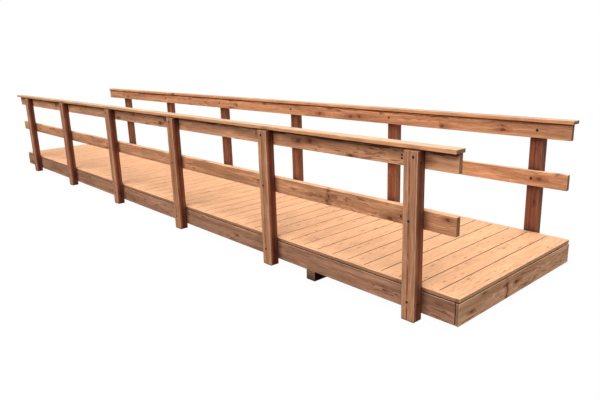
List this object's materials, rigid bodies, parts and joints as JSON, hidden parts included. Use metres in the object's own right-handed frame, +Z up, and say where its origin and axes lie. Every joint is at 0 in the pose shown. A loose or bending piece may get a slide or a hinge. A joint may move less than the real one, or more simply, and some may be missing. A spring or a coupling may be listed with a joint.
{
  "type": "timber footbridge",
  "caption": "Straight level timber footbridge: plank deck on side beams and joists, post-and-rail parapets with capping boards on both sides, standing on cross bearers.",
  "frame": {"origin": "on the ground under the middle of the bridge", "axes": "+X along the walkway towards the front end, +Y to the left parapet, +Z up"},
  "size_m": [9.56, 1.992, 1.398],
  "materials": {
    "post_timber": "planed larch, lightly oiled",
    "rail_timber": "planed larch, lightly oiled",
    "cap_timber": "planed larch, lightly oiled",
    "beam_timber": "planed larch, lightly oiled",
    "deck_timber": "planed larch, lightly oiled"
  },
  "bodies": {
    "root": {"left_post_1": "post_timber", "left_post_2": "post_timber", "left_post_3": "post_timber", "left_post_4": "post_timber", "left_post_5": "post_timber", "left_post_6": "post_timber", "right_post_1": "post_timber", "right_post_2": "post_timber", "right_post_3": "post_timber", "right_post_4": "post_timber", "right_post_5": "post_timber", "right_post_6": "post_timber", "left_top_rail": "rail_timber", "right_top_rail": "rail_timber", "left_mid_rail": "rail_timber", "right_mid_rail": "rail_timber", "left_cap": "cap_timber", "right_cap": "cap_timber", "left_side_beam": "beam_timber", "right_side_beam": "beam_timber", "left_joist": "beam_timber", "right_joist": "beam_timber", "front_end_board": "beam_timber", "back_end_board": "beam_timber", "front_bearer": "beam_timber", "back_bearer": "beam_timber", "left_deck_strip": "deck_timber", "right_deck_strip": "deck_timber", "front_deck_strip": "deck_timber", "back_deck_strip": "deck_timber", "deck_boards_1": "deck_timber", "deck_boards_2": "deck_timber", "deck_boards_3": "deck_timber", "deck_boards_4": "deck_timber", "deck_boards_5": "deck_timber", "deck_boards_6": "deck_timber", "deck_boards_7": "deck_timber"}
  },
  "joints": []
}
